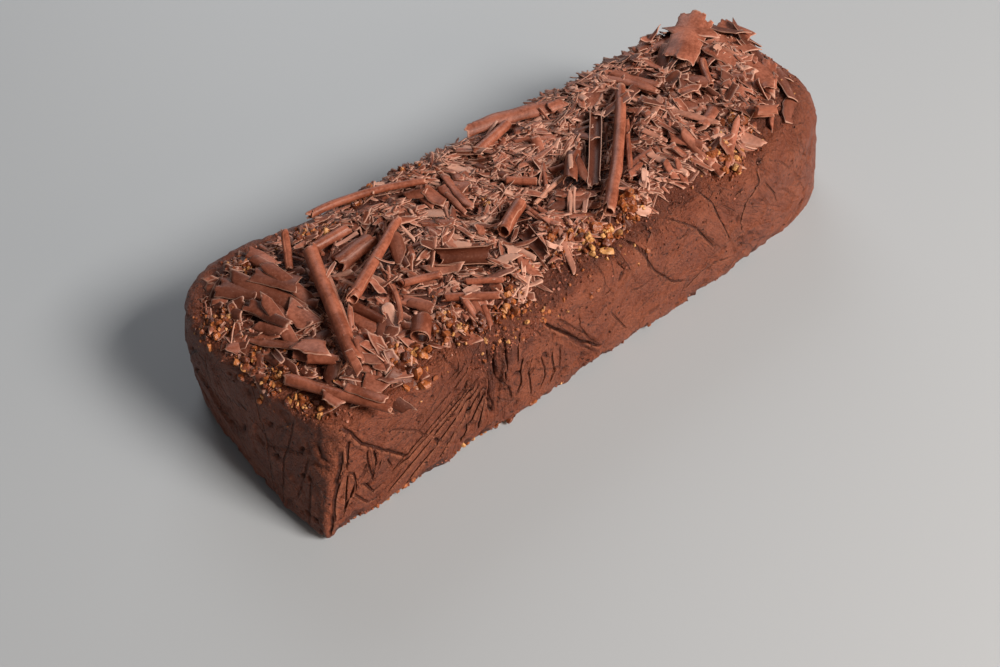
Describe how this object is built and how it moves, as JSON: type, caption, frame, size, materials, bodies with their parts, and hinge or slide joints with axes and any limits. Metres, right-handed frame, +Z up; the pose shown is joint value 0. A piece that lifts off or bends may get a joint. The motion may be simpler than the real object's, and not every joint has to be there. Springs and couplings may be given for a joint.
{
  "type": "chocolate biscuit cake",
  "caption": "Uncut chilled chocolate loaf cake, knife-spread cream sides, topped with rolled and flat chocolate shavings and chopped nuts.",
  "frame": {"origin": "middle of the flat base, under the middle of the whole cake's box", "axes": "+X along the loaf towards its rounder end, +Z up out of the shavings, -Y towards the viewer's long side"},
  "size_m": [0.2854, 0.1014, 0.0629],
  "materials": {
    "cream": "satin chocolate cream, knife-spread",
    "quill": "satin milk chocolate, streaked along its length",
    "shaving": "satin milk chocolate, finely ribbed",
    "nut": "matt caramelised nut"
  },
  "bodies": {
    "root": {"cake": "cream", "shaving_near_left": "shaving", "shaving_back_corner": "shaving", "shaving_broad": "shaving", "shaving_curved": "shaving", "shaving_pale": "shaving", "roll_corner": "quill", "roll_dark": "quill", "roll_red": "quill", "roll_wide": "quill", "shaving_striped": "shaving", "roll_end_on": "quill", "quill_low": "quill", "quill_left": "quill", "quill_middle": "quill", "roll_open": "quill", "shaving_diagonal": "shaving", "shaving_back_strip": "shaving", "quill_back_long": "quill", "quill_short_up": "quill", "quill_twisted": "quill", "quill_cross": "quill", "quill_front": "quill", "quill_long": "quill", "quill_fat": "quill", "quill_small": "quill", "shaving_leaf": "shaving", "stick_thin": "quill", "quill_back": "quill", "roll_back_broad": "shaving", "roll_half": "quill", "roll_dark_strip": "shaving", "roll_trough": "shaving", "quill_thin": "quill", "quill_far_long": "quill", "shaving_field": "shaving", "shaving_field_far": "shaving", "shaving_strips": "shaving", "shaving_far_broad": "shaving", "rod_far": "quill", "shaving_far_plate": "shaving", "shaving_far_strip": "shaving", "roll_far_half": "quill"}
  },
  "joints": []
}
